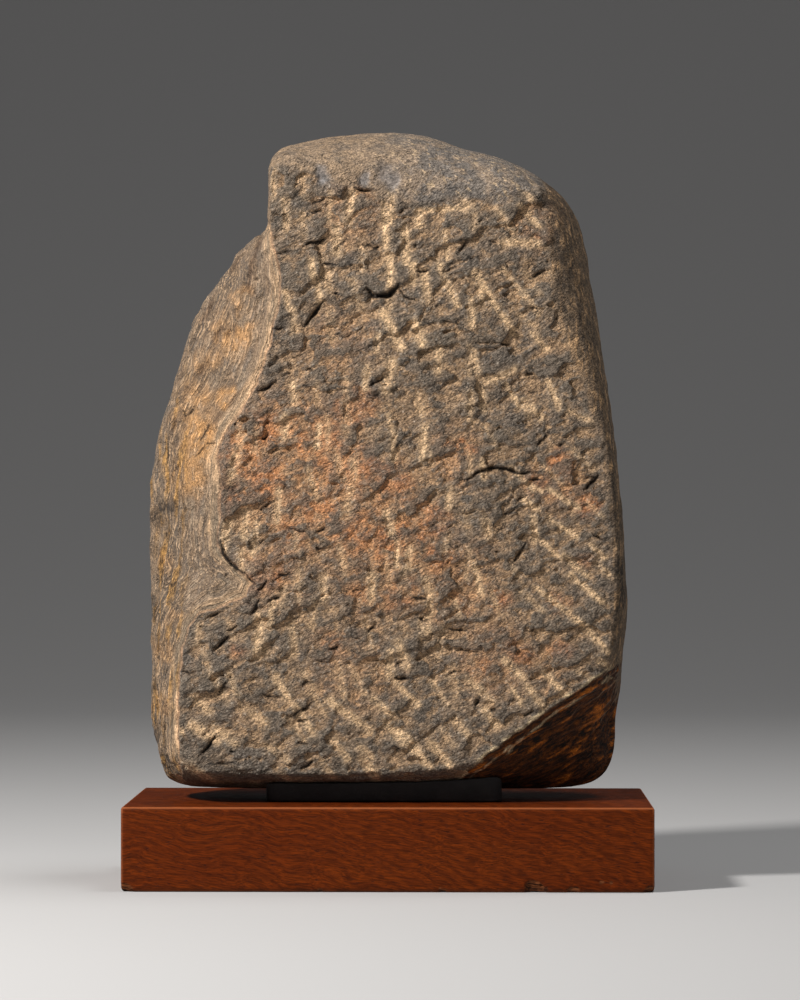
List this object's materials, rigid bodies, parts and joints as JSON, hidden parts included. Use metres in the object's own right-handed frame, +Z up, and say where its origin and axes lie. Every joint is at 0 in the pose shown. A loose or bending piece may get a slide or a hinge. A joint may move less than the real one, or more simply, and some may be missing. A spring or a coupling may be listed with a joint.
{
  "type": "stone stele",
  "caption": "Rough-dressed stone stele with a broken left side and lower corner, standing upright in a fitted pad on a rectangular wooden base.",
  "frame": {"origin": "middle of the wooden base's underside", "axes": "+Z up, -Y out of the dressed face, +X to the right of someone who faces it"},
  "size_m": [0.32, 0.16, 0.4636],
  "materials": {
    "stone": "dark grey-brown volcanic stone, rough-dressed, with tan chisel scars and rust-coloured patches",
    "pad": "matt dark grey fitted pad",
    "wood": "red-brown open-pored hardwood with a satin oil finish and worn arrises"
  },
  "bodies": {
    "root": {"stele": "stone", "cradle": "pad", "wooden_base": "wood"}
  },
  "joints": []
}
